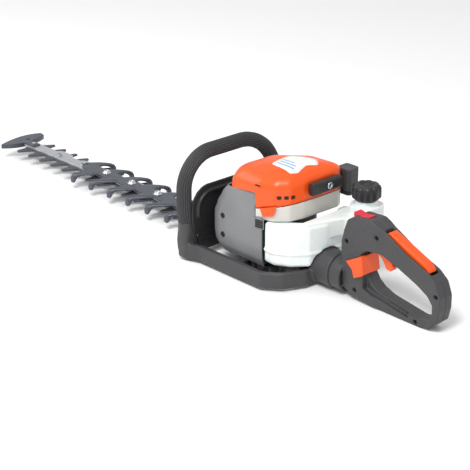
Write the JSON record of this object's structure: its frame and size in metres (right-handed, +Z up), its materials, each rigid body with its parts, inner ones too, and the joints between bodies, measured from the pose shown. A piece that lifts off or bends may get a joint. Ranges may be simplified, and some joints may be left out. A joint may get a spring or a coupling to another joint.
{
  "type": "hedge trimmer",
  "caption": "Petrol hedge trimmer with a double-sided reciprocating cutter bar, loop front handle, recoil starter and turning rear handle.",
  "frame": {"origin": "on the flat underside of the gearcase, straight below the crankshaft's axis", "axes": "+X from the cutter bar towards the rear handle, +Z up, -Y the operator's left side"},
  "size_m": [1.1644, 0.2472, 0.2036],
  "materials": {
    "orange_plastic": "moulded orange nylon, satin",
    "grey_plastic": "moulded mid grey nylon, fine texture",
    "light_grey_plastic": "moulded light warm grey nylon",
    "tank_plastic": "translucent natural polyethylene",
    "black_plastic": "black nylon, fine texture",
    "dark_grey_plastic": "glass filled dark grey nylon",
    "slate_plastic": "slate grey nylon",
    "red_plastic": "red switch plastic",
    "grip_rubber": "ribbed grip rubber",
    "damper_rubber": "black rubber",
    "cast_aluminium": "die cast, satin",
    "blade_steel": "ground steel, oiled",
    "bar_aluminium": "rolled, light scratches",
    "bolt_steel": "zinc plated",
    "machined_steel": "machined",
    "tube_metal": "powder coated tube",
    "filter_foam": "open foam",
    "rope_fibre": "braided cord",
    "spark_ceramic": "glazed ceramic and steel",
    "muffler_steel": "heat stained sheet steel"
  },
  "bodies": {
    "frame": {"base_frame": "dark_grey_plastic", "front_handle": "tube_metal", "handle_grip": "grip_rubber", "hand_guard": "black_plastic", "gearcase_lower": "cast_aluminium", "gearcase_upper": "cast_aluminium", "gearcase_screws": "bolt_steel", "bearings": "machined_steel", "guide_bar": "bar_aluminium", "tooth_guard": "slate_plastic", "tip_guard": "slate_plastic", "blade_bolts": "bolt_steel", "blade_nuts": "bolt_steel", "clutch_housing": "dark_grey_plastic", "crankcase": "cast_aluminium", "cylinder": "cast_aluminium", "spark_plug": "spark_ceramic", "spark_plug_cap": "black_plastic", "muffler": "muffler_steel", "intake_manifold": "black_plastic", "carburettor": "cast_aluminium", "ignition_coil": "black_plastic", "starter_cover": "orange_plastic", "fan_housing": "light_grey_plastic", "cylinder_cover": "grey_plastic", "cover_screws": "bolt_steel", "rear_shroud": "black_plastic", "air_filter_cover": "dark_grey_plastic", "air_filter_base": "black_plastic", "air_filter_element": "filter_foam", "reel_spindle": "machined_steel", "recoil_spring": "machined_steel", "fuel_tank": "tank_plastic", "vibration_dampers": "damper_rubber"},
    "crank": {"crankshaft": "machined_steel", "flywheel": "cast_aluminium", "clutch_shoes": "machined_steel", "starter_pawls": "machined_steel"},
    "piston": {"piston": "cast_aluminium", "wrist_pin": "machined_steel"},
    "connecting_rod": {"connecting_rod": "machined_steel", "crank_pin": "machined_steel"},
    "clutch_drum": {"clutch_drum": "machined_steel"},
    "drive_gear": {"drive_gear": "machined_steel"},
    "upper_blade": {"upper_blade": "blade_steel"},
    "lower_blade": {"lower_blade": "blade_steel"},
    "starter_reel": {"starter_reel": "black_plastic"},
    "starter_grip": {"starter_grip": "black_plastic", "starter_rope": "rope_fibre"},
    "fuel_cap": {"fuel_cap": "black_plastic"},
    "primer_bulb": {"primer_bulb": "black_plastic"},
    "choke_lever": {"choke_lever": "black_plastic"},
    "rear_handle": {"rear_handle_left": "dark_grey_plastic", "rear_handle_right": "dark_grey_plastic", "handle_screws": "bolt_steel", "control_pins": "machined_steel"},
    "throttle_trigger": {"throttle_trigger": "orange_plastic"},
    "trigger_lockout": {"trigger_lockout": "orange_plastic"},
    "stop_switch": {"stop_switch": "red_plastic"},
    "handle_lock_lever": {"handle_lock_lever": "orange_plastic"}
  },
  "joints": [
    {"name": "crank_spin", "type": "hinge", "parent": "frame", "child": "crank", "pos_m": [0, 0, 0.109], "axis": [0, 0, 1], "continuous": true},
    {"name": "piston_slide", "type": "slide", "parent": "frame", "child": "piston", "axis": [1, 0, 0], "range_m": [0, 0.028]},
    {"name": "connecting_rod_swing", "type": "hinge", "parent": "piston", "child": "connecting_rod", "pos_m": [-0.066, 0, 0.109], "axis": [0, 0, 1], "range_deg": [-15.6, 15.6]},
    {"name": "upper_blade_slide", "type": "slide", "parent": "frame", "child": "upper_blade", "axis": [1, 0, 0], "range_m": [-0.008, 0.008]},
    {"name": "lower_blade_slide", "type": "slide", "parent": "frame", "child": "lower_blade", "axis": [1, 0, 0], "range_m": [-0.008, 0.008]},
    {"name": "drive_gear_turn", "type": "hinge", "parent": "frame", "child": "drive_gear", "pos_m": [-0.045, 0, 0.034], "axis": [0, 0, 1], "range_deg": [-90.1, 90.1]},
    {"name": "clutch_drum_turn", "type": "hinge", "parent": "frame", "child": "clutch_drum", "pos_m": [0, 0, 0.034], "axis": [0, 0, 1], "range_deg": [-409, 409]},
    {"name": "starter_grip_pull", "type": "slide", "parent": "frame", "child": "starter_grip", "axis": [0.6428, 0, 0.766], "range_m": [0, 0.5], "stiffness_N_per_m": 6, "springref_m": -0.3},
    {"name": "starter_reel_turn", "type": "hinge", "parent": "frame", "child": "starter_reel", "pos_m": [0, 0, 0.166], "axis": [0, 0, -1], "range_deg": [0, 1592]},
    {"name": "fuel_cap_turn", "type": "hinge", "parent": "frame", "child": "fuel_cap", "pos_m": [0.087, 0.072, 0.137], "axis": [0, 0, 1], "range_deg": [0, 540]},
    {"name": "primer_bulb_press", "type": "slide", "parent": "frame", "child": "primer_bulb", "axis": [0, 0, 1], "range_m": [0, 0.003], "stiffness_N_per_m": 600},
    {"name": "choke_lever_turn", "type": "hinge", "parent": "frame", "child": "choke_lever", "pos_m": [-0.052, 0.0743, 0.119], "axis": [0, 1, 0], "range_deg": [0, 45]},
    {"name": "rear_handle_turn", "type": "hinge", "parent": "frame", "child": "rear_handle", "pos_m": [0.098, 0, 0.033], "axis": [1, 0, 0], "range_deg": [-90, 90]},
    {"name": "throttle_squeeze", "type": "hinge", "parent": "rear_handle", "child": "throttle_trigger", "pos_m": [0.19, 0, 0.108], "axis": [0, -1, 0], "range_deg": [0, 18], "stiffness_Nm_per_rad": 0.5, "springref_deg": -11.46},
    {"name": "lockout_press", "type": "hinge", "parent": "rear_handle", "child": "trigger_lockout", "pos_m": [0.212, 0, 0.132], "axis": [0, 1, 0], "range_deg": [0, 5], "stiffness_Nm_per_rad": 1, "springref_deg": -5.73},
    {"name": "stop_switch_rock", "type": "hinge", "parent": "rear_handle", "child": "stop_switch", "pos_m": [0.15, 0, 0.143], "axis": [0, 1, 0], "range_deg": [-8, 8]},
    {"name": "handle_lock_pull", "type": "slide", "parent": "rear_handle", "child": "handle_lock_lever", "axis": [1, 0, 0], "range_m": [0, 0.008], "stiffness_N_per_m": 500, "springref_m": -0.006}
  ],
  "couplings": [
    {"joint": "lower_blade_slide", "follows": "upper_blade_slide", "ratio": -1},
    {"joint": "drive_gear_turn", "follows": "upper_blade_slide", "rad_per_m": -196.35},
    {"joint": "clutch_drum_turn", "follows": "upper_blade_slide", "rad_per_m": 891.12},
    {"joint": "starter_reel_turn", "follows": "starter_grip_pull", "rad_per_m": 55.556}
  ]
}
